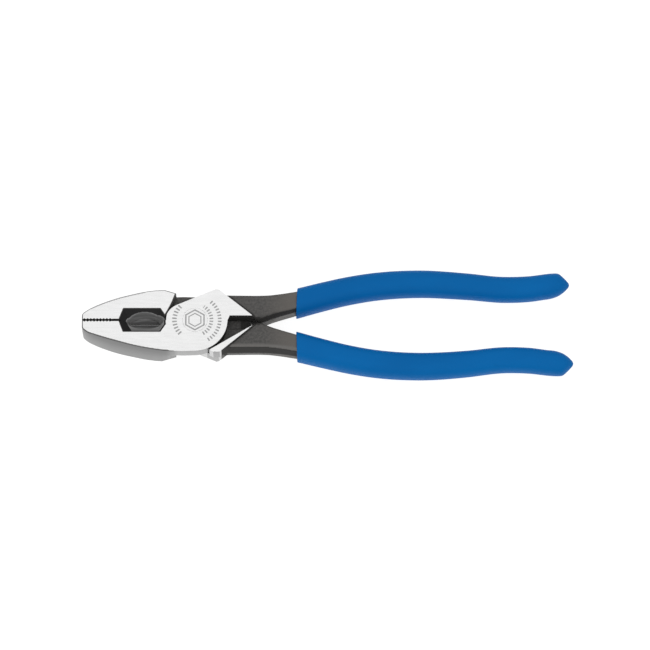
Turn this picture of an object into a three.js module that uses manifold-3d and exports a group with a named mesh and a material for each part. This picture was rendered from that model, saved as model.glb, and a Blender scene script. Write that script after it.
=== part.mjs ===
// High-leverage side-cutting lineman's pliers, closed, lying on their flat side.
// Millimetres. The pivot is the Z axis, the nose points to -X and the handles to +X.
// The underside of the head lies in the plane Z = 0.

import * as THREE from "three";
import { mergeVertices } from "three/addons/utils/BufferGeometryUtils.js";
import Module from "manifold-3d";

const wasm = await Module();
wasm.setup();

// Head
const HEAD_THICKNESS = 15.9;
const DISC_RADIUS = 15.9;
const NOSE_X = -54.7;
const NOSE_HALF_WIDTH = 4.2;
const CLEARANCE = 0.3;
const MID_PLANE = HEAD_THICKNESS / 2;

// Gripping teeth
const TEETH_COUNT = 9;
const TEETH_PITCH = 1.55;
const TEETH_DEPTH = 0.5;

// Window between the knives
const WINDOW_LEFT = -36.9;
const WINDOW_RIGHT = -14.1;
const WINDOW_HALF_WIDTH = 6.0;

// Rivet
const RIVET_RADIUS = 4.5;
const RIVET_HEAD_RADIUS = 6.0;
const RIVET_HEAD_DEPTH = 1.6;

// Handles and grips
const GRIP_FRONT = 49.2;
const GRIP_TIP_A = 181.6;
const GRIP_TIP_B = 183.4;
const TANG_BACK_OFF = 7;

// Colours
const STEEL_COLOUR = 0x9a9a98;
const RIVET_COLOUR = 0xb8b8b6;
const GRIP_COLOUR = 0x0067ac;

// A closed geometry as a manifold solid.
function solid(geometry) {
  const bare = geometry.index ? geometry.toNonIndexed() : geometry.clone();
  bare.deleteAttribute("normal");
  bare.deleteAttribute("uv");
  const merged = mergeVertices(bare, 1e-4);
  return new wasm.Manifold(new wasm.Mesh({
    numProp: 3,
    vertProperties: new Float32Array(merged.attributes.position.array),
    triVerts: new Uint32Array(merged.index.array),
  }));
}

// A manifold solid as a three.js geometry.
function geometryOf(body) {
  const mesh = body.getMesh();
  const geometry = new THREE.BufferGeometry();
  geometry.setAttribute("position", new THREE.BufferAttribute(mesh.vertProperties, 3));
  geometry.setIndex(new THREE.BufferAttribute(mesh.triVerts, 1));
  geometry.computeVertexNormals();
  return geometry;
}

// A flat outline raised from one height to another.
function prism(shape, low, high, curveSegments = 6) {
  const geometry = new THREE.ExtrudeGeometry(shape, {
    depth: high - low,
    bevelEnabled: false,
    curveSegments,
  });
  geometry.translate(0, 0, low);
  return solid(geometry);
}

function outline(points) {
  return new THREE.Shape(points.map(([x, y]) => new THREE.Vector2(x, y)));
}

// A value that follows a smooth curve through [x, value] knots.
function profile(knots) {
  const curve = new THREE.SplineCurve(knots.map(([x, v]) => new THREE.Vector2(x, v)));
  const table = curve.getPoints(40 * knots.length);
  return (x) => {
    let k = 1;
    while (k < table.length - 1 && table[k].x < x) k += 1;
    const a = table[k - 1];
    const b = table[k];
    const t = Math.min(1, Math.max(0, (x - a.x) / (b.x - a.x)));
    return a.y + (b.y - a.y) * t;
  };
}

// A long body with a rounded section at each station along X: its centre in Y, half width
// and half height. Power 2 is an ellipse and higher powers are squarer.
function loft(stations, centre, halfWidth, halfHeight, power, sides = 20) {
  const geometry = new THREE.CylinderGeometry(1, 1, 1, sides, stations.length - 1, false);
  const position = geometry.attributes.position;
  for (let i = 0; i < position.count; i += 1) {
    const row = Math.round((position.getY(i) + 0.5) * (stations.length - 1));
    const x = stations[row];
    const radius = Math.hypot(position.getX(i), position.getZ(i));
    const angle = Math.atan2(position.getZ(i), position.getX(i));
    const across = Math.sign(Math.cos(angle)) * Math.abs(Math.cos(angle)) ** (2 / power);
    const up = Math.sign(Math.sin(angle)) * Math.abs(Math.sin(angle)) ** (2 / power);
    const keep = radius > 0.5 ? 1 : 0;
    position.setXYZ(
      i,
      x,
      centre(x) - keep * across * halfWidth(x),
      MID_PLANE + keep * up * halfHeight(x),
    );
  }
  return solid(geometry);
}

// ---- Outlines of the upper-handle half, seen from above ----

// Outer edge of the jaw, from the nose to the joint.
const JAW_FLANK = [[-53.4, -5.4], [-43.7, -9.3], [-30.1, -13.0], [-16.5, -15.4]];
const DISC_FLANK = [-6, -16.1];
// The step that faces the other half's joint disc, where the jaw stops below the mid plane.
const JAW_STEP = [[-9.4, -13.3], [-11.2, -9.1], [-13.4, -4.4], [-14.2, -2.95]];
const KNIFE_END_X = -14.5;
// Edge of the joint disc at the window, an arc about the pivot.
const INNER_DISC_RADIUS = 14.1;
const INNER_DISC_ANGLE = 2.92;
// The shoulder: polished end of the head that the handle grows from.
const SHOULDER_TOE = [-9.3, 7.9];
const SHOULDER_APEX = [10.2, 16.1];
const SHOULDER_APEX_END = [11.7, 15.9];
const SHOULDER_TIP = [28.3, 2.1];
const SHOULDER_INNER = [16.9, 2.15];
// The lower layer of the shoulder stands a little proud of the upper one.
const BLOCK_LEFT = [8.9, 16.5];
const BLOCK_RIGHT = [12.1, 16.3];
// The wall that faces the other half's disc below the mid plane.
const LAP_WALL_START = [6.9, 15.25];
const LAP_WALL_END = [26.6, 3.3];

function jawEdge(shape) {
  shape.lineTo(NOSE_X, -CLEARANCE / 2);
  shape.lineTo(NOSE_X, 1 - NOSE_HALF_WIDTH);
  shape.quadraticCurveTo(NOSE_X + 0.1, -NOSE_HALF_WIDTH, ...JAW_FLANK[0]);
  shape.splineThru(JAW_FLANK.slice(1).map(([x, y]) => new THREE.Vector2(x, y)));
}

// Lower jaw, through the whole thickness.
function jawShape() {
  const shape = new THREE.Shape();
  shape.moveTo(KNIFE_END_X, -CLEARANCE / 2);
  jawEdge(shape);
  for (const [x, y] of JAW_STEP) {
    shape.lineTo(x, y);
  }
  return shape;
}

// Upper layer: jaw root, joint disc and shoulder.
function upperLayerShape() {
  const r = INNER_DISC_RADIUS;
  const shape = new THREE.Shape();
  shape.moveTo(-r, -CLEARANCE / 2);
  jawEdge(shape);
  shape.lineTo(...DISC_FLANK);
  shape.lineTo(-2, -DISC_RADIUS);
  shape.absarc(0, 0, DISC_RADIUS, -Math.PI / 2, 0, false);
  shape.lineTo(...SHOULDER_INNER);
  shape.lineTo(...SHOULDER_TIP);
  shape.lineTo(...SHOULDER_APEX_END);
  shape.lineTo(...SHOULDER_APEX);
  shape.lineTo(...SHOULDER_TOE);
  const end = [r * Math.cos(INNER_DISC_ANGLE), r * Math.sin(INNER_DISC_ANGLE)];
  shape.quadraticCurveTo(-12.4, 6.3, ...end);
  shape.absarc(0, 0, r, INNER_DISC_ANGLE, Math.PI, false);
  return shape;
}

// Lower layer of the shoulder, a wedge between the lap wall and the handle.
function shoulderWedgeShape() {
  return outline([LAP_WALL_START, LAP_WALL_END, SHOULDER_TIP, BLOCK_RIGHT, BLOCK_LEFT]);
}

// Recessed web that fills the corner between disc, shoulder and handle on one half only.
const WEB_RECESS = 2.2;
const WEB_OUTLINE = [[12, 3], [27.4, 3], [27.9, 0.2], [27.4, -0.2], [25, -3.4], [12.3, -10.4]];

// ---- Handle, in the upper-handle half ----

const handleCentre = profile([
  [8, 8.0], [22, 7.1], [31, 7.1], [38, 8.5], [49, 10.85], [61.4, 14.6], [73.1, 17.6],
  [84.7, 19.8], [108, 21.5], [131.3, 20.2], [150, 18.4], [162, 18.8], [172, 20.1], [184, 20.6],
]);
const handleHalfWidth = profile([
  [8, 6.0], [22, 6.6], [31, 6.55], [38, 5.45], [49, 4.45], [61.4, 4.4], [90, 4.3], [184, 4.2],
]);
const handleHalfHeight = profile([
  [8, 6.5], [38, 6.45], [49, 6.3], [80, 5.5], [130, 4.8], [184, 4.6],
]);

function stationsBetween(first, last, count) {
  return Array.from({ length: count + 1 }, (_, i) => first + ((last - first) * i) / count);
}

// Steel handle with its tang, which narrows to a blunt end inside the grip.
function handleSolid(gripTip) {
  const last = gripTip - TANG_BACK_OFF;
  const stations = stationsBetween(10, last, 44);
  const taper = (x) => 1 - 0.35 * Math.max(0, (x - last + 8) / 8) ** 2;
  return loft(
    stations,
    handleCentre,
    (x) => handleHalfWidth(x) * taper(x),
    (x) => handleHalfHeight(x) * taper(x),
    3.2,
  );
}

// ---- Cuts ----

// V-shaped trough over the two knives, inside the eight-sided window.
function windowCut() {
  const half = HEAD_THICKNESS / 2;
  const trough = outline([
    [-WINDOW_HALF_WIDTH, half + 1], [-WINDOW_HALF_WIDTH, half], [-4.6, 6.9], [-2.45, 3.5], [-0.02, 0.25],
    [0.02, 0.25], [2.45, 3.5], [4.6, 6.9], [WINDOW_HALF_WIDTH, half], [WINDOW_HALF_WIDTH, half + 1],
  ]);
  const length = WINDOW_RIGHT - WINDOW_LEFT;
  const geometry = new THREE.ExtrudeGeometry(trough, { depth: length, bevelEnabled: false });
  geometry.rotateX(Math.PI / 2);
  geometry.rotateZ(Math.PI / 2);
  geometry.translate(WINDOW_LEFT, 0, MID_PLANE);
  const octagon = outline([
    [WINDOW_LEFT, 0.6], [-34.6, WINDOW_HALF_WIDTH], [-16.9, WINDOW_HALF_WIDTH], [WINDOW_RIGHT, 2.2],
    [WINDOW_RIGHT, -2.2], [-16.9, -WINDOW_HALF_WIDTH], [-34.6, -WINDOW_HALF_WIDTH], [WINDOW_LEFT, -0.6],
  ]);
  const upper = solid(geometry).intersect(prism(octagon, MID_PLANE, HEAD_THICKNESS + 1));
  return upper.add(upper.rotate([180, 0, 0]).translate([0, 0, HEAD_THICKNESS]));
}

// Grooves across the jaw face that leave the gripping teeth.
function teethCut() {
  const crest = -CLEARANCE / 2;
  const first = NOSE_X + 0.4;
  const points = [[first, 1]];
  for (let i = 0; i < TEETH_COUNT; i += 1) {
    const start = first + i * TEETH_PITCH;
    points.push([start, crest], [start + TEETH_PITCH / 2, crest - TEETH_DEPTH]);
  }
  const last = first + TEETH_COUNT * TEETH_PITCH;
  points.push([last, crest], [last, 1]);
  return prism(outline(points), -1, HEAD_THICKNESS + 1);
}

// Space of the rivet, with a running clearance, from one face to the other.
function rivetSolid(grow, reach) {
  const shank = RIVET_RADIUS + grow;
  const head = RIVET_HEAD_RADIUS + grow;
  const points = [
    [0, -reach], [head, -reach], [head, 0], [shank, RIVET_HEAD_DEPTH],
    [shank, HEAD_THICKNESS - RIVET_HEAD_DEPTH], [head, HEAD_THICKNESS],
    [head, HEAD_THICKNESS + reach], [0, HEAD_THICKNESS + reach],
  ];
  const kept = reach > 0 ? points : points.filter((_, i) => i !== 1 && i !== 6);
  const geometry = new THREE.LatheGeometry(kept.map(([r, z]) => new THREE.Vector2(r, z)), 40);
  geometry.rotateX(Math.PI / 2);
  return solid(geometry);
}

// ---- The pieces ----

// One forged half: jaw, knife, joint disc, shoulder and handle.
function forgedHalf(gripTip, hasWeb) {
  const lapTop = MID_PLANE + CLEARANCE / 2;
  const upperLayer = prism(upperLayerShape(), lapTop, HEAD_THICKNESS, 16);
  const jaw = prism(jawShape(), 0, HEAD_THICKNESS, 16);
  const wedge = prism(shoulderWedgeShape(), 0, HEAD_THICKNESS);
  const lapSpace = prism(outline([
    [-30, -40], [30, -40], [34, 0.15], [28.4, 0.15], LAP_WALL_END, LAP_WALL_START,
    [2, 18], [-30, 18],
  ]), -1, lapTop);
  const sideSpace = prism(outline([
    [-30, -40], [60, -40], [60, 0.15], [31, 0.15], SHOULDER_TIP, SHOULDER_INNER, [0, 0],
  ]), -1, HEAD_THICKNESS + 1);
  const handle = handleSolid(gripTip).subtract(lapSpace).subtract(sideSpace);
  let half = handle.add(upperLayer).add(wedge).add(jaw);
  if (hasWeb) {
    half = half.add(prism(outline([...WEB_OUTLINE].reverse()), lapTop, HEAD_THICKNESS - WEB_RECESS));
  }
  return half.subtract(windowCut()).subtract(teethCut()).subtract(rivetSolid(CLEARANCE, 1));
}

// Dipped sleeve that covers the handle from its front edge to its tip.
function gripSolid(gripTip) {
  const shift = gripTip - GRIP_TIP_A;
  const halfWidth = profile([
    [49.2, 6.95], [73.1, 6.75], [96.4, 6.55], [119.7, 6.4], [142.9, 6.15], [164, 6.0],
    [171, 5.95], [175, 5.4], [177.4, 4.4], [179.2, 2.8], [180.7, 1.2], [181.6, 0.35],
  ]);
  const halfHeight = profile([
    [49.2, 7.3], [80, 6.8], [120, 6.2], [150, 5.9], [171, 5.9], [176, 5.0], [179, 3.4],
    [180.7, 1.8], [181.6, 0.35],
  ]);
  const body = stationsBetween(GRIP_FRONT, 171, 36);
  const nose = [172.5, 174, 175.5, 177, 178.2, 179.2, 180.1, 181, 181.6];
  const outer = loft(
    [...body, ...nose].map((x) => x + (x > GRIP_FRONT ? shift : 0)),
    handleCentre,
    (x) => halfWidth(x - shift),
    (x) => halfHeight(x - shift),
    2.5,
  );
  const last = gripTip - TANG_BACK_OFF + 1;
  const inner = loft(
    stationsBetween(GRIP_FRONT - 2, last, 36),
    handleCentre,
    (x) => Math.min(handleHalfWidth(x) + CLEARANCE + 0.02, halfWidth(x - shift) - 0.5),
    (x) => Math.min(handleHalfHeight(x) + CLEARANCE + 0.02, halfHeight(x - shift) - 0.5),
    3.2,
  );
  return outer.subtract(inner);
}

// The other half is the same shape turned over about the long axis.
function turnedOver(body) {
  return body.rotate([180, 0, 0]).translate([0, 0, HEAD_THICKNESS]);
}

function piece(name, body, colour, roughness, metalness) {
  const material = new THREE.MeshStandardMaterial({ color: colour, roughness, metalness });
  const mesh = new THREE.Mesh(geometryOf(body), material);
  mesh.name = name;
  return mesh;
}

const pliers = new THREE.Group();
pliers.add(piece("handle_forging_a", forgedHalf(GRIP_TIP_A, false), STEEL_COLOUR, 0.35, 0.9));
pliers.add(piece("handle_forging_b", turnedOver(forgedHalf(GRIP_TIP_B, true)), STEEL_COLOUR, 0.35, 0.9));
pliers.add(piece("pivot_rivet", rivetSolid(0, 0), RIVET_COLOUR, 0.3, 0.9));
pliers.add(piece("grip_a", gripSolid(GRIP_TIP_A), GRIP_COLOUR, 0.4, 0));
pliers.add(piece("grip_b", turnedOver(gripSolid(GRIP_TIP_B)), GRIP_COLOUR, 0.4, 0));

export default pliers;
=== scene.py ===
"""Lineman's pliers: ground head, dark forged handles and dipped grips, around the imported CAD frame."""

import math

import bpy
import numpy as np
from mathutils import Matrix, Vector


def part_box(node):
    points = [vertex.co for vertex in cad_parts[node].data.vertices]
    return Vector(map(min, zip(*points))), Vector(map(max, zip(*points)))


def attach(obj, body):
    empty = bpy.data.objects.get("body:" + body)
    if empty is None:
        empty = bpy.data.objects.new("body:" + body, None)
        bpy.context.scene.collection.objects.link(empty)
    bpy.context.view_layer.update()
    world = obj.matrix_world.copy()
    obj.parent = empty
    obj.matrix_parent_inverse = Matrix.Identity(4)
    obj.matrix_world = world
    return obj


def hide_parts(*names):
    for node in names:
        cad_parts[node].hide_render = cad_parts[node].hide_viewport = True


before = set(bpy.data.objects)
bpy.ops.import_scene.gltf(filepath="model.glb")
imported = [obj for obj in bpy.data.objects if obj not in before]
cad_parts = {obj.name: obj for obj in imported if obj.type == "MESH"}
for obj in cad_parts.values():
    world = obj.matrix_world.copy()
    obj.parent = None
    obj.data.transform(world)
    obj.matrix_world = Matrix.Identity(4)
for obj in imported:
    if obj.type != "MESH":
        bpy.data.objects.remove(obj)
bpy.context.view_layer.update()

MM = 0.001

# ---- Driving sizes, read from the frame, in millimetres ----

HEAD_LOW, HEAD_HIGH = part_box("handle_forging_a")
RIVET_LOW, RIVET_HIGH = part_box("pivot_rivet")
THICK = (HEAD_HIGH.z - HEAD_LOW.z) / MM
MID = THICK / 2
NOSE_X = HEAD_LOW.x / MM
RIVET_HEAD_RADIUS = (RIVET_HIGH.x - RIVET_LOW.x) / 2 / MM
TANG_TIP = {"a": HEAD_HIGH.x / MM, "b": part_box("handle_forging_b")[1].x / MM}
GRIP_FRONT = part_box("grip_a")[0].x / MM
# Grip b ends a little short of its CAD solid, as in the photo.
GRIP_TIP_INSET = {"a": 0, "b": 0.4}
GRIP_TIP = {side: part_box("grip_" + side)[1].x / MM - GRIP_TIP_INSET[side] for side in "ab"}

# ---- Other sizes of the head, in millimetres. The origin is on the pivot's axis, at the underside ----

DISC_RADIUS = 15.9
INNER_DISC_RADIUS = 14.05
LAP_GAP = 0.06
JAW_GROOVE = 0.7
GROOVE_DEPTH = 3.5
KNIFE_GAP = 0.03
EDGE_BREAK = 0.02
FACE_INSET = 0.15
FLANK_BREAK = 0.65
NOSE_ROUND = 0.9
OVERHANG_END = -10
# How far the disc's rim draws in under its upper edge, for each millimetre down.
RIM_DRAFT = {"a": 0.05, "b": 0.17}
RIVET_SHANK_RADIUS = 4.5
RIVET_HEAD_DEPTH = 1.6
RIVET_SEAM = 0.03

# Teeth
TEETH_COUNT = 9
TEETH_PITCH = 1.55
TEETH_DEPTH = 0.55

# Window between the knives. Each end has a flat of this half length, between walls slanted by this much
# along and across the jaw.
WINDOW_LEFT = -36.9
WINDOW_RIGHT = -14.05
WINDOW_HALF = 6.15
LEFT_FLAT = 0.6
LEFT_SLANT = (2.3, 6.15)
RIGHT_FLAT = 2.2
RIGHT_SLANT = (2.5, 3.8)
RECESS_SLOPE = 0.75
SCOOP_CENTRE = -24.35
SCOOP_TOP = (9.0, 4.2)
SCOOP_ROOT = (7.6, 2.6)
SCOOP_ROOT_RISE = 1.95
SCOOP_TOP_RISE = 6.5
SCOOP_FLARE = (SCOOP_TOP[1] - SCOOP_ROOT[1]) / (SCOOP_TOP_RISE - SCOOP_ROOT_RISE)
KNIFE_SLOPE = 0.75

VOXEL = 0.4
CURVE_SAMPLES = 400


# ---- Signed distance tools: negative inside, millimetres ----

def polygon_distance(x, y, points):
    """Distance from (x, y) to a closed outline."""
    corners = np.asarray(points, np.float32)
    best = np.float32(1e9)
    inside = False
    for (ax, ay), (bx, by) in zip(corners, np.roll(corners, -1, axis=0)):
        ex, ey = bx - ax, by - ay
        wx, wy = x - ax, y - ay
        t = np.clip((wx * ex + wy * ey) / (ex * ex + ey * ey), 0, 1)
        best = np.minimum(best, (wx - ex * t) ** 2 + (wy - ey * t) ** 2)
        if ay != by:
            crosses = ((ay > y) != (by > y)) & (x < (y - ay) * ex / ey + ax)
            inside = inside ^ crosses
    return np.where(inside, -np.sqrt(best), np.sqrt(best))


def meet(a, b, r=0.0):
    """Intersection with its edge rounded to radius r."""
    if r == 0:
        return np.maximum(a, b)
    u = np.maximum(a + r, 0)
    v = np.maximum(b + r, 0)
    return np.minimum(-r, np.maximum(a, b)) + np.sqrt(u * u + v * v)


def join(a, b, r=0.0):
    """Union with its inner corner filled to radius r."""
    return -meet(-a, -b, r)


def cut(a, b, r=0.0):
    return meet(a, -b, r)


def slab(z, low, high):
    return np.abs(z - (low + high) / 2) - (high - low) / 2


def fade(value, start, end):
    """0 at start, 1 at end, straight in between and level outside."""
    return np.clip((value - start) / (end - start), 0, 1)


def on_circle(radius, degrees):
    return radius * math.cos(math.radians(degrees)), radius * math.sin(math.radians(degrees))


def arc(radius, start, end, count):
    return [on_circle(radius, degrees) for degrees in np.linspace(start, end, count)]


def curve(knots):
    """A smooth function of x through (x, value) knots."""
    xs, values = np.array(knots, float).T
    slopes = np.gradient(values, xs)
    fine = np.linspace(xs[0], xs[-1], CURVE_SAMPLES)
    k = np.clip(np.searchsorted(xs, fine, side="right") - 1, 0, len(xs) - 2)
    h = xs[k + 1] - xs[k]
    t = (fine - xs[k]) / h
    smooth = (
        (2 * t**3 - 3 * t**2 + 1) * values[k]
        + (t**3 - 2 * t**2 + t) * h * slopes[k]
        + (3 * t**2 - 2 * t**3) * values[k + 1]
        + (t**3 - t**2) * h * slopes[k + 1]
    )
    return lambda x: np.interp(x, fine, smooth)


# ---- Outlines of the half with the upper handle, seen from above ----

# Half width of the jaw along X, on its upper face, and on the under face of each half.
FLANK_UPPER = curve([
    (NOSE_X, 4.3), (-52, 6.3), (-48.8, 7.5), (-43.7, 9.15), (-37, 11.1), (-30.1, 13.0),
    (-23.3, 14.45), (-16.5, 15.5), (-9, 16.1),
])
FLANK_UNDER = {
    "a": curve([
        (NOSE_X, 3.9), (-52, 6.1), (-48.8, 7.8), (-43.7, 9.95), (-37, 12.15), (-30.1, 13.8),
        (-23.3, 15.2), (-17, 15.9), (-9, 16.0),
    ]),
    "b": curve([
        (NOSE_X, 3.2), (-52, 5.2), (-48.8, 7.0), (-43.7, 9.2), (-37, 11.55), (-30.1, 13.35),
        (-23.3, 14.8), (-17, 15.45), (-9, 15.6),
    ]),
}
SHOULDER_TOE = (-9.1, 7.75)
TOE_CONTROL = (-12.3, 6.2)
SHOULDER_APEX = (10.2, 16.1)
SHOULDER_APEX_END = (11.6, 15.8)
SHOULDER_TIP = (28.3, 2.1)
WEDGE_TIP = (29.5, 1.55)
WEDGE_OVERLAP = 0.4
SHOULDER_INNER = (16.9, 2.15)
BLOCK_LEFT = (8.9, 16.5)
BLOCK_RIGHT = (12.1, 16.3)
LAP_WALL_START = (6.9, 15.25)
LAP_WALL_END = (27.0, 3.05)
# The jaw at its full thickness ends at this edge, round the other half's disc.
JAW_STEP = [
    (-70, 2), (-70, -25), (-18, -25), (-15.8, -15.8), (-9.2, -13.8), (-10.95, -9.1),
    (-13.25, -4.4), (-14.1, -2.95), (-14.4, -0.15), (-14.4, 2),
]


def toe_round(count=7):
    """The rounded end of the shoulder, from its toe to the disc's edge at the window."""
    start, control, end = np.array([SHOULDER_TOE, TOE_CONTROL, on_circle(INNER_DISC_RADIUS, 167.3)])
    steps = np.linspace(0, 1, count)
    return [tuple((1 - t) ** 2 * start + 2 * t * (1 - t) * control + t * t * end) for t in steps]


DISC_AND_SHOULDER = (
    [(-14.05, -8), (-15.5, -14.6), (-12, -15.85), (-6, -16.1), (-2, -15.98)]
    + arc(DISC_RADIUS, -88, -1, 30)
    + [SHOULDER_INNER, SHOULDER_TIP, SHOULDER_APEX_END, SHOULDER_APEX]
    + toe_round()
    + arc(INNER_DISC_RADIUS, 168.6, 181, 6)
)
SHOULDER_WEDGE = [LAP_WALL_START, LAP_WALL_END, WEDGE_TIP, BLOCK_RIGHT, BLOCK_LEFT]
# What the handle gives up to the other half: below the lap, and at its full thickness beside the disc.
LAP_SPACE = [
    (-30, -40), (30, -40), (34, 0.15), (28.4, 0.15), LAP_WALL_END, LAP_WALL_START, (2, 18), (-30, 18),
]
SIDE_SPACE = [
    (-30, -40), (60, -40), (60, 0.15), (31, 0.15), SHOULDER_TIP, SHOULDER_INNER, (0, 0),
]
# Half b has a recessed web in the corner between its disc, shoulder and handle.
WEB_RECESS = 2.2
WEB = [(12, 3), (27.4, 3), (27.9, 0.2), (27.4, -0.2), (25, -3.4), (12.3, -10.4)]

# ---- Handle, tang and grip ----

HANDLE_CENTRE = curve([
    (8, 8.0), (22, 7.1), (31, 7.1), (38, 8.5), (49, 10.85), (61.4, 14.6), (73.1, 17.6), (84.7, 19.8),
    (108, 21.5), (131.3, 20.2), (150, 18.4), (162, 18.8), (172, 20.1), (184, 20.6),
])
HANDLE_WIDTH = curve([
    (8, 6.1), (22, 6.8), (31, 6.75), (38, 5.65), (49, 4.6), (61.4, 4.4), (90, 4.3), (184, 4.2),
])
HANDLE_HEIGHT = curve([(8, 6.5), (38, 6.45), (49, 6.3), (80, 5.5), (130, 4.8), (184, 4.6)])
HANDLE_START = 9
HANDLE_CORNER = 1.3
TANG_TAPER = 8
TANG_NARROWING = 0.35
TANG_END_ROUND = 1.2
# The handle's neck, in front of the grip, where its sides slope most.
NECK_FULL = 36
NECK_END = 46
# Slopes of the handle's sides: the outer one, and the inner one above and below its parting line.
OUTER_DRAFT = 0.1
INNER_BEVEL = 0.4
INNER_DRAFT = 0.04
INNER_PARTING = 2.9


def jaw_core(x, y, z, side):
    """The jaw's flank and nose, without its other faces, and the flank alone."""
    up = fade(z, 0, THICK)
    half = FLANK_UPPER(x) * up + FLANK_UNDER[side](x) * (1 - up)
    lean = FLANK_UPPER(x + 0.5) - FLANK_UPPER(x - 0.5)
    flank = (-y - half) / np.sqrt(1 + lean**2)
    return meet(flank, NOSE_X - x, NOSE_ROUND), flank


def tooth_wave(x):
    """How far the jaw's inner face lies below the tips of its teeth."""
    start = NOSE_X + 0.5
    phase = (x - start) / TEETH_PITCH
    wave = TEETH_DEPTH * (1 - np.abs(2 * (phase - np.floor(phase)) - 1))
    return np.where((phase > 0) & (phase < TEETH_COUNT), wave, 0)


def jaw_space(x, z):
    """Distance from the centre line to the jaw: a dark groove along each face in front of the window."""
    groove = fade(np.abs(z - MID), MID - GROOVE_DEPTH, MID) * fade(x, WINDOW_LEFT + 1, WINDOW_LEFT)
    last_tooth = NOSE_X + TEETH_COUNT * TEETH_PITCH
    width = JAW_GROOVE + TEETH_DEPTH * fade(x, last_tooth, last_tooth + 1)
    return (KNIFE_GAP + (width - KNIFE_GAP) * groove) / 2


def end_walls(inward, y, flat, slant):
    """Distance outside the two slanted walls at one end of the window."""
    run, rise = slant
    return ((np.abs(y) - flat) * run - inward * rise) / math.hypot(run, rise)


def window_pocket(x, y, z):
    """The space over the knives, from both faces: a recess with eight sloping walls, a scooped well,
    and then the knife edges."""
    octagon = np.maximum(np.abs(y) - WINDOW_HALF, np.maximum(WINDOW_LEFT - x, x - WINDOW_RIGHT))
    octagon = np.maximum(octagon, end_walls(x - WINDOW_LEFT, y, LEFT_FLAT, LEFT_SLANT))
    octagon = np.maximum(octagon, end_walls(WINDOW_RIGHT - x, y, RIGHT_FLAT, RIGHT_SLANT))
    rise = np.abs(z - MID)
    recess = (MID + RECESS_SLOPE * octagon - rise) / math.hypot(1, RECESS_SLOPE)
    knife = (KNIFE_SLOPE * np.abs(y) - rise) / math.hypot(1, KNIFE_SLOPE)
    well = np.maximum(scoop(x, y, rise), knife)
    return np.maximum(np.minimum(recess, well), octagon)


def scoop(x, y, rise):
    """An oval well that narrows towards the knife edge."""
    t = (rise - SCOOP_ROOT_RISE) / (SCOOP_TOP_RISE - SCOOP_ROOT_RISE)
    length = SCOOP_ROOT[0] + (SCOOP_TOP[0] - SCOOP_ROOT[0]) * t
    width = SCOOP_ROOT[1] + (SCOOP_TOP[1] - SCOOP_ROOT[1]) * t
    return (np.hypot((x - SCOOP_CENTRE) / length, y / width) - 1) * width / math.hypot(1, SCOOP_FLARE)


def rivet_hole(x, y, z):
    """The pivot's hole, flared at both faces for the rivet's heads."""
    near_face = fade(np.abs(z - MID), MID - RIVET_HEAD_DEPTH, MID)
    radius = RIVET_SHANK_RADIUS + (RIVET_HEAD_RADIUS - RIVET_SHANK_RADIUS) * near_face + RIVET_SEAM
    return np.sqrt(x * x + y * y) - radius


def tang_taper(x, side, narrowing):
    """The tang's size near its end, as a part of its full size."""
    return 1 - narrowing * fade(x, TANG_TIP[side] - TANG_TAPER, TANG_TIP[side]) ** 2


def handle_body(x, y, z, side):
    """Drop-forged handle and tang: flat above and below, with a parting line along each side."""
    centre = HANDLE_CENTRE(x)
    lean = HANDLE_CENTRE(x + 0.5) - HANDLE_CENTRE(x - 0.5)
    taper = tang_taper(x, side, TANG_NARROWING)
    half = HANDLE_WIDTH(x) * taper
    rise = z - MID
    neck = fade(x, NECK_END, NECK_FULL)
    outer = y - centre - half + OUTER_DRAFT * neck * np.abs(rise)
    bevel = (INNER_BEVEL * (0.3 + 0.7 * neck)) * np.maximum(rise - INNER_PARTING, 0)
    inner = centre - y - half + bevel + INNER_DRAFT * np.maximum(INNER_PARTING - rise, 0)
    walls = np.maximum(outer, inner) / np.sqrt(1 + lean**2)
    face = np.abs(rise) - HANDLE_HEIGHT(x) * taper
    body = meet(walls, face, HANDLE_CORNER)
    return meet(body, np.maximum(x - TANG_TIP[side], HANDLE_START - x), TANG_END_ROUND)


def forged_half(x, y, z, side):
    """Signed distance of one forged half, with the upper handle and the lower jaw."""
    lap = MID + LAP_GAP / 2

    # The jaw: its full thickness in front of the disc, and the upper half of it over the lap.
    core, _ = jaw_core(x, y, z, side)
    through = meet(meet(core, polygon_distance(x, y, JAW_STEP), 0.25), slab(z, 0, THICK), FLANK_BREAK)
    over = meet(np.maximum(core, x - OVERHANG_END), slab(z, lap, THICK), FLANK_BREAK)
    jaw = np.minimum(through, over)
    jaw = meet(jaw, y + jaw_space(x, z) + tooth_wave(x), EDGE_BREAK)
    jaw = cut(jaw, window_pocket(x, y, z))

    # The disc over the lap, and the wedge that carries the shoulder down to the underside.
    draft = RIM_DRAFT[side] * (THICK - z) * fade(y, 0, -8) * fade(x, -11, -9)
    outline = polygon_distance(x, y, DISC_AND_SHOULDER) + FACE_INSET
    disc = meet(outline + draft, slab(z, lap, THICK), EDGE_BREAK)
    wedge = polygon_distance(x, y, SHOULDER_WEDGE) + FACE_INSET / 2
    wedge = meet(wedge, slab(z, 0, lap + WEDGE_OVERLAP), EDGE_BREAK)

    # The handle, clear of the other half's disc and shoulder.
    lap_space = np.maximum(polygon_distance(x, y, LAP_SPACE), z - lap)
    handle = cut(handle_body(x, y, z, side), lap_space, 0.3)
    handle = cut(handle, polygon_distance(x, y, SIDE_SPACE), 0.3)

    head = np.minimum(disc, wedge)
    if side == "b":
        web = meet(polygon_distance(x, y, WEB), slab(z, lap, THICK - WEB_RECESS), 0.5)
        head = join(head, web, 0.4)
    half = join(head, handle, 0.7)
    half = np.minimum(half, jaw)
    return cut(half, rivet_hole(x, y, z), 0.03)


# ---- From a distance function to a mesh ----

GRADIENT_STEP = 0.02
LEAST_SLOPE = 0.2
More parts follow.
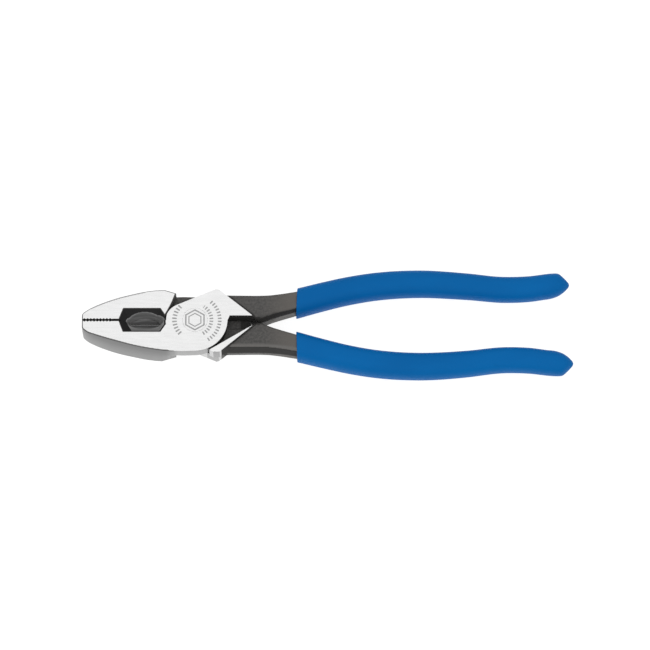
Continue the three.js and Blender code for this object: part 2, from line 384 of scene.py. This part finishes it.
# How strongly a vertex keeps to the mean of its crossings where the planes leave it free.
STAY_AT_MEAN = 0.03
SETTLE_ROUNDS = 2
CORNER_INSET = 0.3


def surface_net(distance, values, xs, ys, zs):
    """A quad on each grid edge that the surface crosses. Its corners, one per cell, are fitted to the
    planes through the cell's crossings, so that they fall on creases and corners."""
    grid = (xs, ys, zs)
    inside = values < 0
    shape = tuple(n - 1 for n in values.shape)
    spots, quads = [], []
    for axis in range(3):
        u, v = (axis + 1) % 3, (axis + 2) % 3
        here = [slice(None)] * 3
        there = [slice(None)] * 3
        here[axis], there[axis] = slice(None, -1), slice(1, None)
        low = inside[tuple(here)]
        edges = np.argwhere(low != inside[tuple(there)])
        ends = edges.copy()
        ends[:, axis] += 1
        va, vb = values[tuple(edges.T)], values[tuple(ends.T)]
        spot = np.stack([grid[n][edges[:, n]] for n in range(3)], 1).astype(float)
        spot[:, axis] += va / (va - vb) * (grid[axis][ends[:, axis]] - spot[:, axis])
        cells = []
        for du, dv in ((-1, -1), (0, -1), (0, 0), (-1, 0)):
            cell = edges.copy()
            cell[:, u] += du
            cell[:, v] += dv
            cells.append(np.ravel_multi_index(tuple(cell.T), shape))
        cells = np.stack(cells, 1)
        spots.append(spot)
        solid_first = low[tuple(edges.T)]
        quads.append(np.where(solid_first[:, None], cells, cells[:, ::-1]))
    used, quads = np.unique(np.concatenate(quads), return_inverse=True)
    quads = quads.reshape(-1, 4)
    corners = np.stack(np.unravel_index(used, shape), 1)
    floor = np.stack([grid[n][corners[:, n]] for n in range(3)], 1)
    roof = np.stack([grid[n][corners[:, n] + 1] for n in range(3)], 1)
    return np.clip(fitted(distance, np.concatenate(spots), quads, len(used)), floor, roof), quads


def fitted(distance, spots, quads, count):
    """The point of each cell that lies nearest to the tangent planes at its crossings."""
    slope = gradient(distance, spots)
    size = np.maximum((slope * slope).sum(1), LEAST_SLOPE)
    spots = spots - slope * (distance(*spots.T) / size)[:, None]
    slope /= np.sqrt(size)[:, None]
    cell = quads.ravel()
    spots, slope = np.repeat(spots, 4, 0), np.repeat(slope, 4, 0)
    hits = np.bincount(cell, minlength=count)
    mean = np.stack([np.bincount(cell, spots[:, n], count) for n in range(3)], 1) / hits[:, None]
    off = (slope * (spots - mean[cell])).sum(1)
    pull = np.stack([np.bincount(cell, slope[:, n] * off, count) for n in range(3)], 1)
    matrix = np.empty((count, 3, 3))
    for m in range(3):
        for n in range(3):
            matrix[:, m, n] = np.bincount(cell, slope[:, m] * slope[:, n], count)
        matrix[:, m, m] += STAY_AT_MEAN * hits
    return mean + np.linalg.solve(matrix, pull[:, :, None])[:, :, 0]


def gradient(distance, points):
    slope = np.empty_like(points)
    for n in range(3):
        ahead, behind = points.copy(), points.copy()
        ahead[:, n] += GRADIENT_STEP
        behind[:, n] -= GRADIENT_STEP
        slope[:, n] = (distance(*ahead.T) - distance(*behind.T)) / (2 * GRADIENT_STEP)
    return slope


def settle(distance, points, reach):
    """Moves each vertex onto the surface itself."""
    for _ in range(SETTLE_ROUNDS):
        slope = gradient(distance, points)
        move = distance(*points.T) / np.maximum((slope * slope).sum(1), LEAST_SLOPE)
        move = np.clip(move, -reach, reach)
        points = points - move[:, None] * slope
    return points


def forged_mesh(side):
    """Vertices, quads, and the spot and normal of each quad corner, for the half with the upper handle."""
    def distance(x, y, z):
        return forged_half(x, y, z, side)

    # Finer steps at the teeth and at the jaw line, and longer ones along the handle. The starts are
    # chosen so that no plane of the grid lies in a face.
    xs = np.concatenate([
        np.arange(NOSE_X - 1.03, -40, 0.6 * VOXEL),
        np.arange(-40 + VOXEL, 33, VOXEL),
        np.arange(33 + VOXEL, TANG_TIP[side] + 2, 2.2 * VOXEL),
    ])
    ys = np.concatenate([
        np.arange(-17.53, -1.6, VOXEL),
        np.arange(-1.4, 0.5, 0.4 * VOXEL),
        np.arange(0.5 + VOXEL, 27.5, VOXEL),
    ])
    zs = np.arange(-0.71, THICK + 1, VOXEL)
    values = distance(xs[:, None, None], ys[None, :, None], zs[None, None, :])
    points, quads = surface_net(distance, values, xs, ys, zs)
    points = settle(distance, points, VOXEL / 2)
    spots, normals = corner_normals(distance, points, quads)
    return points, quads, spots, normals


def unit(vectors):
    """The same directions at length 1."""
    return vectors / np.maximum(np.linalg.norm(vectors, axis=1), 1e-6)[:, None]


def corner_normals(distance, points, quads):
    """A normal for each corner of each quad, shared where the surface is smooth and split at creases.
    Each is taken a little way in from the corner, at the spot that is also given back."""
    corners = points[quads]
    middle = corners.mean(1, keepdims=True)
    spots = (corners + CORNER_INSET * (middle - corners)).reshape(-1, 3)
    own = unit(gradient(distance, spots))
    shared = unit(gradient(distance, points))[quads.ravel()]
    alike = fade((own * shared).sum(1), 0.9, 0.97)[:, None]
    return spots, unit(own + (shared - own) * alike)


def head_masks(points, normals, side):
    """The polished sides of the head, painted light on their facets at the shoulder, and a painted dark
    reflection along the jaw's lower bevel.
    """
    x, y, z = points.T
    steep = np.abs(normals[:, 2]) < 0.9
    _, flank = jaw_core(x, y, z, side)
    on_flank = (np.abs(flank) < 0.35) & (x < -8.5)
    on_toe = (np.abs(polygon_distance(x, y, JAW_STEP)) < 0.35) & (y < -13.3)
    on_nose = x < NOSE_X + 0.25
    rim = np.abs(polygon_distance(x, y, DISC_AND_SHOULDER)) < 1.0
    block = (np.abs(polygon_distance(x, y, SHOULDER_WEDGE)) < 0.35) & (z < MID + 0.5)
    lower_rim = rim & (y < -8) & (x < 8)
    upper_rim = (rim | block) & (y > 6) & (x < 12.8)
    on_rim = lower_rim | upper_rim
    # Painted light: the facets at the shoulder are painted paler as the light falls, the front ones less
    # than the left ones.
    front = (np.abs(normals[:, 0]) < 0.45) & (y > 14)
    facet_lighting = np.where(y > 0, np.where(front, 0.35, 0.9), 0.4 * fade(x, -14, -8))
    # Painted reflection: a dark band along the jaw's flank edge on the lower face stands in for an edge
    # chamfer that reflects darker surroundings.
    bevel_width = np.where(np.abs(x + 37) < 13, 0.75, 0.35)
    return {
        "satin": steep & (on_flank | on_toe | on_rim | on_nose),
        "lit_facet": (steep & on_rim) * facet_lighting,
        "bevel": (flank > -bevel_width) & (x < -9.5) & (z < 0.3),
    }


def window_masks(points):
    """The recess: bright worn wells on the side towards the knives, and near black elsewhere in it."""
    x, y, z = points.T
    rise = np.abs(z - MID)
    inside = (x > WINDOW_LEFT) & (x < WINDOW_RIGHT) & (np.abs(y) < WINDOW_HALF + 0.05) & (rise < MID - 0.25)
    reach = np.where(z > MID, 1.7, 1.0)
    well = inside & (scoop(x, y / reach, rise) < 0.2)
    well &= (z < MID) | ((rise < MID - 0.65) & (x + 33.2 > -0.5 * y))
    knife = well & (np.abs(KNIFE_SLOPE * np.abs(y) - rise) < 0.3)
    return {"well": well, "knife": knife, "pit": inside & ~well}


def handle_masks(points, normals):
    """Painted shade beside the parting line, painted shadow in the seams of the shoulder and in the crotch,
    and a painted highlight along the lower edge.
    """
    x, y, z = points.T
    rise = np.abs(z - MID)
    level = np.abs(normals[:, 2])
    centre = HANDLE_CENTRE(x)
    # Painted shade on the handle's sides beside the parting line.
    inner = (y < centre) * fade(z, MID + 1.0, MID + 1.8)
    outer = (y > centre) * fade(z, MID + 1.9, MID + 1.1)
    beside_parting = ((level < 0.55) & (x > 13)) * np.maximum(inner, outer)
    outline = polygon_distance(x, y, DISC_AND_SHOULDER)
    wedge = polygon_distance(x, y, SHOULDER_WEDGE)
    # Painted shadow in the seams along the shoulder and the wedge, and in the crotch between the handles.
    shadow_seam = (outline > 0.02) & (outline < 1.0) & (x > 12) & (y > 2) & (z > MID) & (z < THICK - 0.4)
    shadow_seam |= (wedge > 0.02) & (wedge < 0.5) & (x > 13) & (y > 1.6) & (z < MID) & (z > 0.4)
    shadow_seam |= (x > 22) & (x < 31.5) & (y < 2.2) & (rise < MID - 0.4)
    # Painted highlight in a band along the lower handle's outer edge.
    from_edge = (centre + HANDLE_WIDTH(x) - y) * (level > 0.55) * (z < MID)
    return {
        "shade": np.maximum(beside_parting, shadow_seam),
        "edge_highlight": (x > 16) * fade(from_edge, 0, 0.4) * fade(from_edge, 2.6, 1.4),
    }


def zone_masks(points, normals, side):
    """The finish of each spot of a half, upper handle first, as amounts from 0 to 1."""
    masks = head_masks(points, normals, side)
    masks.update(window_masks(points))
    masks.update(handle_masks(points, normals))
    return masks


def mesh_object(name, points, faces, normals=None):
    """A smooth-shaded mesh in metres, from points in millimetres and a list of faces."""
    data = bpy.data.meshes.new(name)
    data.from_pydata((points * MM).tolist(), [], faces)
    data.shade_smooth()
    if normals is not None:
        data.normals_split_custom_set(normals.tolist())
    piece = bpy.data.objects.new(name, data)
    bpy.context.scene.collection.objects.link(piece)
    return piece


def add_mask(piece, name, values):
    layer = piece.data.attributes.new(name, "FLOAT", "CORNER")
    layer.data.foreach_set("value", values.astype(np.float32))


def turned_over(points):
    """Half b is the same forging turned over about the long axis."""
    x, y, z = points.T
    return np.stack([x, -y, THICK - z], 1)


def forging(side, body):
    points, quads, spots, normals = forged_mesh(side)
    masks = zone_masks(spots, normals, side)
    if side == "b":
        points = turned_over(points)
        normals = normals * (1, -1, -1)
    piece = mesh_object("forging_" + side, points, quads.tolist(), normals)
    for mask, values in masks.items():
        add_mask(piece, mask, values)
    piece.data.materials.append(STEEL)
    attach(piece, body)
    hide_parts("handle_forging_" + side)
    return piece


# ---- Grips ----

GRIP_CENTRE = curve([
    (48, 10.8), (49.8, 11.3), (61.4, 14.6), (73.1, 17.6), (84.7, 19.8), (108, 21.5), (131.3, 20.2),
    (150, 18.4), (162, 18.8), (172, 20.1), (184, 20.6),
])
GRIP_WIDTH = curve([
    (48, 7.25), (60, 6.95), (73.1, 6.75), (96.4, 6.55), (119.7, 6.45), (142.9, 6.2), (164, 6.1),
    (170, 6.05), (184, 6.05),
])
# How far each dip lies off its handle's own centre line.
GRIP_OFF = {
    "a": curve([(48, 0), (60, -0.1), (80, -0.3), (120, -0.3), (150, -0.15), (170, -0.1), (184, 0.15)]),
    "b": curve([(48, 0), (60, -0.2), (110, -0.3), (128, -0.25), (140, -0.4), (170, -0.65), (184, -0.8)]),
}
GRIP_HEIGHT = curve([(48, 7.3), (80, 6.8), (120, 6.2), (150, 5.9), (184, 5.9)])
GRIP_SIDES = 64
GRIP_POWER = 2.45
GRIP_SLANT = 0.04
SLANT_LENGTH = 12
LIP_ROUND = 0.35
SLEEVE_RINGS = 60
BODY_RINGS = 110
TIP_RINGS = 40
TIP_LENGTH = 12.0
SLEEVE_POWER = 4.0
# The dip's inside lies this far within the tang's skin, so that no gap shows between them.
SLEEVE_FIT = 0.4
SLEEVE_NARROWING = 0.33

# Half widths of the grip's blunt end, by distance from its tip: nearly straight on the outer side of the
# pliers, and rounder on the inner side.
TIP_FULL = 6.05
TIP_OUTER = curve([
    (0, 0), (0.08, 0.45), (0.27, 0.92), (0.76, 1.6), (1.24, 2.15), (1.73, 2.7), (2.7, 3.7), (3.7, 4.65),
    (4.6, 5.4), (5.4, 5.85), (6.6, 6.03), (8, TIP_FULL), (12, TIP_FULL),
])
TIP_INNER = curve([
    (0, 0), (0.08, 0.45), (0.27, 0.92), (0.76, 1.6), (1.24, 2.1), (1.73, 2.58), (2.7, 3.4), (3.7, 4.1),
    (4.6, 4.65), (6.6, 5.42), (9, 5.95), (10.5, TIP_FULL), (12, TIP_FULL),
])


def ring(x, half_width, half_height, power, shift=0.0, slant=0.0):
    """One section of a grip, nearly in the plane of constant x."""
    angles = np.linspace(0, 2 * math.pi, GRIP_SIDES, endpoint=False)
    c, s = np.cos(angles), np.sin(angles)
    across = np.sign(c) * np.abs(c) ** (2 / power) * half_width
    up = np.sign(s) * np.abs(s) ** (2 / power) * half_height
    return np.stack([x + slant * across, GRIP_CENTRE(x) + shift + across, MID + up], 1)


def grip_rings(side):
    """The outside of the grip, from its rolled front lip to just short of its tip."""
    tip = GRIP_TIP[side]
    off = GRIP_OFF[side]
    rings = []
    for lip in (0.0, 0.5, 1.0):
        angle = lip * math.pi / 2
        inset = LIP_ROUND * (1 - math.sin(angle))
        x = GRIP_FRONT + LIP_ROUND * (1 - math.cos(angle))
        rings.append(ring(x, GRIP_WIDTH(x) - inset, GRIP_HEIGHT(x) - inset, GRIP_POWER, off(x), GRIP_SLANT))
    for x in np.linspace(GRIP_FRONT + 1.2, tip - TIP_LENGTH, BODY_RINGS):
        slant = GRIP_SLANT * fade(x, GRIP_FRONT + SLANT_LENGTH, GRIP_FRONT)
        rings.append(ring(x, GRIP_WIDTH(x), GRIP_HEIGHT(x), GRIP_POWER, off(x), slant))
    for t in np.sin(np.linspace(0, math.pi / 2, TIP_RINGS))[1:-1]:
        left = (1 - t) * TIP_LENGTH
        x = tip - left
        scale = GRIP_WIDTH(x) / TIP_FULL
        outer, inner = float(TIP_OUTER(left)) * scale, float(TIP_INNER(left)) * scale
        half = (outer + inner) / 2
        height = float(TIP_INNER(left)) / TIP_FULL * GRIP_HEIGHT(x)
        power = 2 + (GRIP_POWER - 2) * half / TIP_FULL
        rings.append(ring(x, half, height, power, off(x) + (outer - inner) / 2))
    return rings


def sleeve_rings(side):
    """The inside of the sleeve, from its front to past the end of the tang."""
    rings = []
    for x in np.linspace(GRIP_FRONT, TANG_TIP[side] + SLEEVE_FIT, SLEEVE_RINGS):
        taper = tang_taper(x, side, SLEEVE_NARROWING)
        half_width = HANDLE_WIDTH(x) * taper - SLEEVE_FIT
        half_height = HANDLE_HEIGHT(x) * taper - SLEEVE_FIT
        rings.append(ring(x, half_width, half_height, SLEEVE_POWER, HANDLE_CENTRE(x) - GRIP_CENTRE(x)))
    return rings


def bridge(first, second):
    """Quads between two rings given by their first vertex numbers."""
    faces = []
    for n in range(GRIP_SIDES):
        m = (n + 1) % GRIP_SIDES
        faces.append((first + n, second + n, second + m, first + m))
    return faces


def grip(side, body):
    """One closed skin: from the bottom of the sleeve out over the front lip and back to the tip."""
    inner = sleeve_rings(side)
    rings = inner[::-1] + grip_rings(side)
    end = GRIP_TIP[side]
    tip = [end, GRIP_CENTRE(end) + GRIP_OFF[side](end), MID]
    bottom = inner[-1].mean(0)
    points = np.concatenate(rings + [[tip, bottom]])
    tip_number = len(points) - 2
    bottom_number = len(points) - 1
    last = (len(rings) - 1) * GRIP_SIDES
    faces = []
    for n in range(len(rings) - 1):
        faces += bridge(n * GRIP_SIDES, (n + 1) * GRIP_SIDES)
    for n in range(GRIP_SIDES):
        m = (n + 1) % GRIP_SIDES
        faces.append((last + n, tip_number, last + m))
        faces.append((n, m, bottom_number))
    if side == "b":
        points = turned_over(points)
    piece = mesh_object("dipped_grip_" + side, points, faces)
    piece.data.materials.append(VINYL)
    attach(piece, body)
    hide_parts("grip_" + side)
    return piece


# ---- Materials ----

class Tree:
    """A material's nodes, written as short calls. Values can be numbers or other nodes' outputs."""

    def __init__(self, name):
        self.material = bpy.data.materials.new(name)
        self.material.use_nodes = True
        self.tree = self.material.node_tree
        self.shader = self.tree.nodes["Principled BSDF"]
        self.object = self.add("ShaderNodeTexCoord").outputs["Object"]

    def add(self, kind, inputs=None, **settings):
        node = self.tree.nodes.new(kind)
        for key, value in settings.items():
            setattr(node, key, value)
        for key, value in (inputs or {}).items():
            self.put(node.inputs[key], value)
        return node

    def put(self, socket, value):
        if isinstance(value, bpy.types.NodeSocket):
            self.tree.links.new(value, socket)
        else:
            socket.default_value = value

    def math(self, operation, a, b=0.0, c=0.0):
        return self.add("ShaderNodeMath", {0: a, 1: b, 2: c}, operation=operation).outputs[0]

    def ramp(self, value, low, high, to_low=0.0, to_high=1.0):
        node = self.add("ShaderNodeMapRange", {
            "Value": value, "From Min": low, "From Max": high, "To Min": to_low, "To Max": to_high,
        }, interpolation_type="SMOOTHSTEP")
        return node.outputs["Result"]

    def mix(self, factor, a, b):
        node = self.add("ShaderNodeMix", {0: factor, 6: a, 7: b}, data_type="RGBA")
        return node.outputs[2]

    def blend(self, factor, a, b):
        return self.add("ShaderNodeMix", {0: factor, 2: a, 3: b}).outputs[0]

    def noise(self, scale, detail=4.0, stretch=(1, 1, 1), roughness=0.55):
        moved = self.add("ShaderNodeMapping", {"Vector": self.object, "Scale": stretch}).outputs[0]
        return self.add("ShaderNodeTexNoise", {
            "Vector": moved, "Scale": scale, "Detail": detail, "Roughness": roughness,
        }).outputs["Fac"]

    def mask(self, name):
        return self.add("ShaderNodeAttribute", attribute_name=name).outputs["Fac"]

    def bump(self, height, distance, strength=1.0):
        return self.add("ShaderNodeBump", {
            "Height": height, "Distance": distance, "Strength": strength,
        }).outputs[0]

    def finish(self, **sockets):
        for key, value in sockets.items():
            self.put(self.shader.inputs[key.replace("_", " ")], value)
        return self.material


def grey(value, warm=0.0):
    """A linear grey, with a little more red and less blue where it is warm."""
    return (value * (1 + warm), value, value * (1 - warm), 1)


def steel_material():
    """Forged steel: bright ground faces, satin sides with painted shade, worn wells, and dark oxide on the
    handles with painted shade and highlights.
    """
    t = Tree("forged_steel")
    axis = t.add("ShaderNodeSeparateXYZ", {0: t.object})
    from_mid = t.math("ABSOLUTE", t.math("SUBTRACT", axis.outputs[2], MID * MM))
    normal = t.add("ShaderNodeNewGeometry").outputs["Normal"]
    level = t.math("ABSOLUTE", t.add("ShaderNodeSeparateXYZ", {0: normal}).outputs[2])
    at_face = t.ramp(from_mid, (MID - 0.14) * MM, (MID - 0.05) * MM)
    ground = t.math("MULTIPLY", at_face, t.ramp(level, 0.94, 0.995))
    satin = t.mask("satin")
    well = t.mask("well")
    shade = t.mask("shade")
    fine = t.noise(2600, 3)
    cloud = t.noise(140, 3)
    drag = t.noise(500, 4, (0.25, 2.2, 1))
    streak = t.noise(420, 4, (0.12, 1, 2.4))
    scale_mark = t.noise(900, 5, (1, 1, 1), 0.65)
    streaked = t.ramp(streak, 0.3, 0.7)

    oxide = t.mix(t.ramp(scale_mark, 0.3, 0.75), grey(0.068, 0.02), grey(0.116, 0.04))
    oxide = t.mix(t.ramp(axis.outputs[0], 0.030, 0.050), oxide, grey(0.124, 0.08))
    # Painted highlight along the lower handle's edge.
    oxide = t.mix(t.mask("edge_highlight"), oxide, grey(0.150, 0.04))
    # Painted shade beside the parting line and painted shadow in the shoulder's seams.
    oxide = t.mix(shade, oxide, grey(0.045, 0.03))
    oxide = t.mix(t.mask("pit"), oxide, grey(0.020))
    # Painted shade: the polished sides are painted lighter near the floor and darker towards the top, as
    # the light falls.
    lit_low_side = t.mix(streaked, grey(0.27), grey(0.33))
    shaded_high_side = t.mix(streaked, grey(0.15), grey(0.20))
    polished = t.mix(t.ramp(axis.outputs[2], 0.1 * THICK * MM, THICK * MM), lit_low_side, shaded_high_side)
    # Painted light on the facets at the shoulder and the disc's rim.
    polished = t.mix(t.mask("lit_facet"), polished, t.mix(streaked, grey(0.60), grey(0.72)))
    wall = t.mix(streaked, grey(0.20), grey(0.31))
    knife = t.mix(t.ramp(streak, 0.35, 0.65), grey(0.10), grey(0.26))
    face = t.mix(t.ramp(drag, 0.25, 0.75), grey(0.86), grey(0.93))
    face = t.mix(stamp_mask(t, axis, fine), face, grey(0.34))

    colour = t.mix(satin, oxide, polished)
    colour = t.mix(well, colour, wall)
    colour = t.mix(t.mask("knife"), colour, knife)
    colour = t.mix(ground, colour, face)
    # Painted dark reflection along the jaw's lower bevel.
    colour = t.mix(t.mask("bevel"), colour, grey(0.36))
    bright = t.math("MAXIMUM", satin, ground)
    metallic = t.blend(well, t.blend(bright, 0.35, 1.0), 0.4)
    rough = t.blend(satin, t.ramp(cloud, 0.3, 0.7, 0.42, 0.56), t.ramp(streak, 0.3, 0.7, 0.34, 0.46))
    rough = t.blend(shade, rough, 0.85)
    rough = t.blend(ground, rough, t.ramp(fine, 0.3, 0.7, 0.26, 0.36))
    grain = t.blend(bright, scale_mark, t.blend(ground, streak, fine))
    relief = t.bump(grain, t.blend(bright, 0.00012, 0.00002), 0.6)
    t.put(t.shader.inputs["Specular IOR Level"], 0.2)
    return t.finish(Base_Color=colour, Metallic=metallic, Roughness=rough, Normal=relief)


# Rows of ticks on the stamped disc: the row's middle and half length along the arc in degrees, its radius
# and the ticks' half length in millimetres, and how many ticks a full circle would hold.
TICK_ROWS = ((180, 48, 9.9, 1.05, 38), (-4, 62, 8.0, 0.85, 34), (-4, 56, 12.0, 0.85, 48))
# The six-sided rings inside them: distance to a side and half the line's width, in millimetres.
HEXAGONS = ((4.4, 0.3), (2.9, 0.22))


def stamp_mask(t, axis, grain):
    """Stamped marks on the upper disc: rows of plain ticks round a six-sided ring, with no lettering."""
    x, y = axis.outputs[0], axis.outputs[1]
    radius = t.math("SQRT", t.math("ADD", t.math("MULTIPLY", x, x), t.math("MULTIPLY", y, y)))
    angle = t.math("ARCTAN2", y, x)
    marks = 0.0
    for middle, half_arc, place, half_height, count in TICK_ROWS:
        away = t.math("WRAP", t.math("SUBTRACT", angle, math.radians(middle)), math.pi, -math.pi)
        in_row = t.math("LESS_THAN", t.math("ABSOLUTE", away), math.radians(half_arc))
        turn = t.math("FRACT", t.math("MULTIPLY", angle, count / (2 * math.pi)))
        across = t.ramp(t.math("ABSOLUTE", t.math("SUBTRACT", turn, 0.5)), 0.26, 0.20)
        outward = t.math("ABSOLUTE", t.math("SUBTRACT", radius, place * MM))
        along = t.ramp(outward, (half_height + 0.1) * MM, half_height * MM)
        mark = t.math("MULTIPLY", t.math("MULTIPLY", across, along), in_row)
        marks = t.math("MAXIMUM", marks, mark)
    sixth = t.math("WRAP", angle, math.radians(30), math.radians(-30))
    flat = t.math("MULTIPLY", radius, t.math("COSINE", sixth))
    for place, half_width in HEXAGONS:
        off = t.math("ABSOLUTE", t.math("SUBTRACT", flat, place * MM))
        marks = t.math("MAXIMUM", marks, t.ramp(off, (half_width + 0.08) * MM, half_width * MM))
    upper = t.math("GREATER_THAN", axis.outputs[2], MID * MM)
    marks = t.math("MULTIPLY", marks, upper)
    return t.math("MULTIPLY", marks, t.ramp(grain, 0.3, 0.5, 0.6, 1.0))


def vinyl_material():
    """Blue dipped vinyl, a little cloudy, with a fine uneven skin."""
    t = Tree("dipped_grip")
    cloud = t.noise(60, 3, (0.35, 1, 1))
    skin = t.noise(420, 4)
    colour = t.mix(t.ramp(cloud, 0.3, 0.7), (0.0, 0.118, 0.375, 1), (0.0, 0.134, 0.415, 1))
    rough = t.ramp(skin, 0.3, 0.7, 0.42, 0.52)
    normal = t.bump(skin, 0.00006, 0.5)
    t.put(t.shader.inputs["Specular IOR Level"], 0.08)
    return t.finish(Base_Color=colour, Roughness=rough, Normal=normal)


# ---- Stage. Lamp and floor sizes are in metres, the camera's in millimetres ----

IMAGE_WIDTH = 650 * 0.485
VIEW_ELEVATION = 70.5
CAMERA_AWAY = 2500
SENSOR = 36
AIM = Vector((62.9, 0.17, MID))
FLOOR_SIZE = 6
FLOOR_GLOW = 0.87
OVERHEAD_LIGHT = 0.96
HORIZON_LIGHT = 0.18
KEY_PLACE = Vector((-0.05, -0.6, 1.2))
KEY_AIM = Vector((0.06, 0, 0))
KEY_SIZE = 0.9
KEY_POWER = 2.6


def floor_material():
    """White acrylic lit from below, as on a light table."""
    t = Tree("floor")
    t.put(t.shader.inputs["Emission Color"], (1, 1, 1, 1))
    t.put(t.shader.inputs["Emission Strength"], FLOOR_GLOW)
    return t.finish(Base_Color=grey(0.3), Roughness=0.9)


def studio_world():
    """Soft white light from above that falls off towards the horizon."""
    world = bpy.data.worlds.new("studio")
    world.use_nodes = True
    tree = world.node_tree
    background = tree.nodes["Background"]
    place = tree.nodes.new("ShaderNodeTexCoord")
    axis = tree.nodes.new("ShaderNodeSeparateXYZ")
    tree.links.new(place.outputs["Generated"], axis.inputs[0])
    fall = tree.nodes.new("ShaderNodeMapRange")
    fall.interpolation_type = "SMOOTHSTEP"
    fall.inputs["From Min"].default_value = 0.05
    fall.inputs["From Max"].default_value = 0.75
    fall.inputs["To Min"].default_value = HORIZON_LIGHT
    fall.inputs["To Max"].default_value = OVERHEAD_LIGHT
    tree.links.new(axis.outputs[2], fall.inputs["Value"])
    tree.links.new(fall.outputs["Result"], background.inputs["Strength"])
    background.inputs["Color"].default_value = (1, 1, 1, 1)
    return world


def add_camera():
    data = bpy.data.cameras.new("camera")
    data.sensor_width = SENSOR
    data.lens = SENSOR * CAMERA_AWAY / IMAGE_WIDTH
    data.clip_end = 20
    camera = bpy.data.objects.new("camera", data)
    tilt = math.radians(VIEW_ELEVATION)
    camera.location = (AIM + Vector((0, -math.cos(tilt), math.sin(tilt))) * CAMERA_AWAY) * MM
    camera.rotation_euler = (math.pi / 2 - tilt, 0, 0)
    bpy.context.scene.collection.objects.link(camera)
    bpy.context.scene.camera = camera


def add_key_light():
    """A soft round lamp in front of the pliers, which doesn't show in reflections."""
    data = bpy.data.lights.new("key", "AREA")
    data.shape = "DISK"
    data.size = KEY_SIZE
    data.energy = KEY_POWER
    light = bpy.data.objects.new("key", data)
    light.location = KEY_PLACE
    light.rotation_euler = (KEY_AIM - KEY_PLACE).to_track_quat("-Z", "Y").to_euler()
    light.visible_glossy = False
    bpy.context.scene.collection.objects.link(light)


def add_floor():
    bpy.ops.mesh.primitive_plane_add(size=FLOOR_SIZE, location=(AIM.x * MM, 0, 0))
    floor = bpy.context.object
    floor.name = "floor"
    floor.data.materials.append(floor_material())


add_camera()
add_floor()
add_key_light()
bpy.context.scene.world = studio_world()
bpy.context.scene.view_settings.view_transform = "Standard"

STEEL = steel_material()
VINYL = vinyl_material()
forging("a", "half_a")
forging("b", "half_b")
grip("a", "half_a")
grip("b", "half_b")

# The rivet keeps its CAD shape.
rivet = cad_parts["pivot_rivet"]
rivet.data.materials.clear()
rivet.data.materials.append(STEEL)
